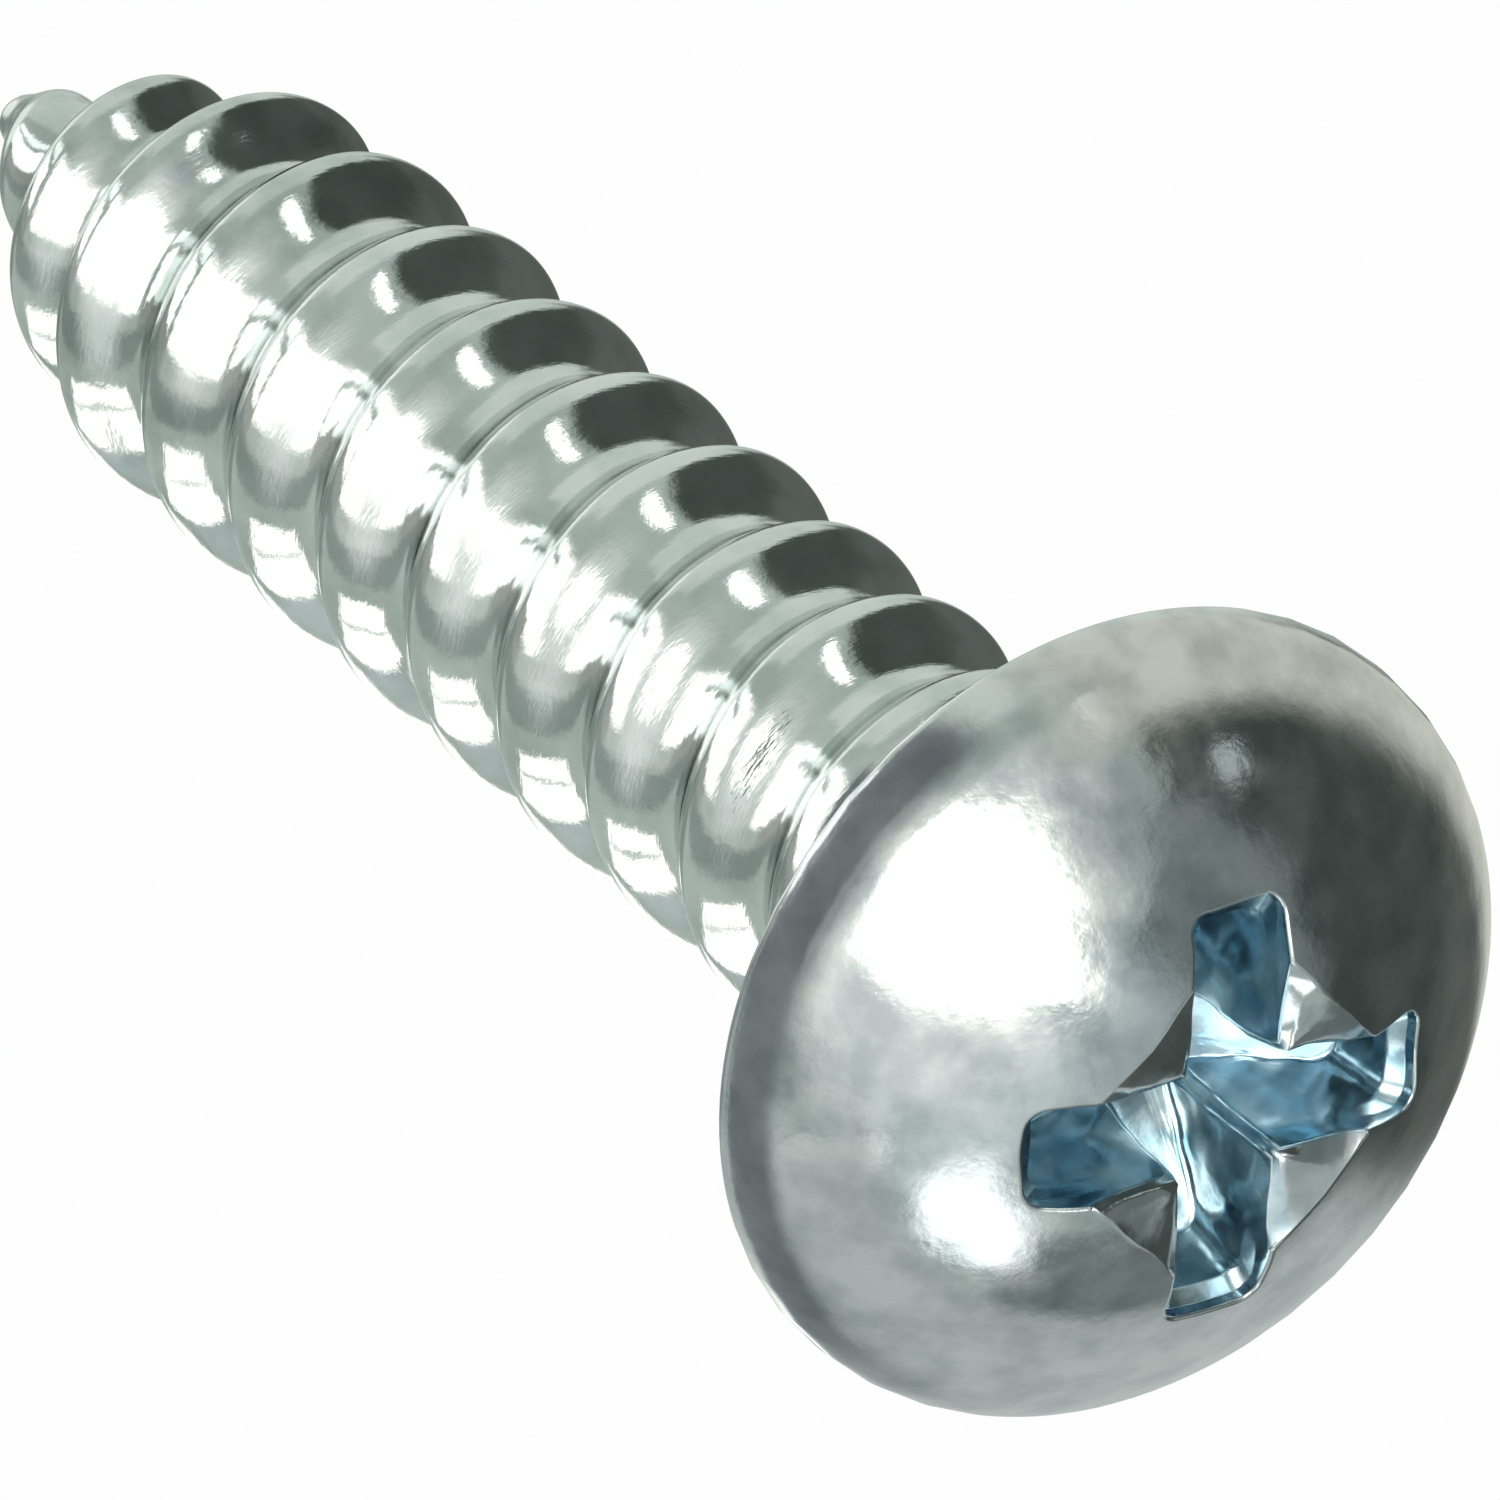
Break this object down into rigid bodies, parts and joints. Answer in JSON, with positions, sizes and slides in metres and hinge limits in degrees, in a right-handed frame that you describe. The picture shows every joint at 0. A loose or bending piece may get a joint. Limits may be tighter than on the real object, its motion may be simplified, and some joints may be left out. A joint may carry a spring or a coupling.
{
  "type": "wood screw",
  "caption": "Short fully threaded wood screw with a domed pan head, a cross recess, a coarse right-hand thread and a gimlet point.",
  "frame": {"origin": "centre of the flat bearing face under the head, on the screw's axis", "axes": "+Z along the axis out of the top of the head, with the tip at -Z; +X and +Y along the wings of the cross recess"},
  "size_m": [0.0068, 0.0068, 0.0182],
  "materials": {
    "head_zinc": "bright zinc plated steel, cold headed, near mirror, bluer in the recess",
    "shank_zinc": "bright zinc plated steel, thread rolled, near mirror",
    "point_zinc": "bright zinc plated steel, thread rolled to a point, slightly duller"
  },
  "bodies": {
    "root": {"head": "head_zinc", "neck": "shank_zinc", "threaded_shank": "shank_zinc", "gimlet_point": "point_zinc"}
  },
  "joints": []
}
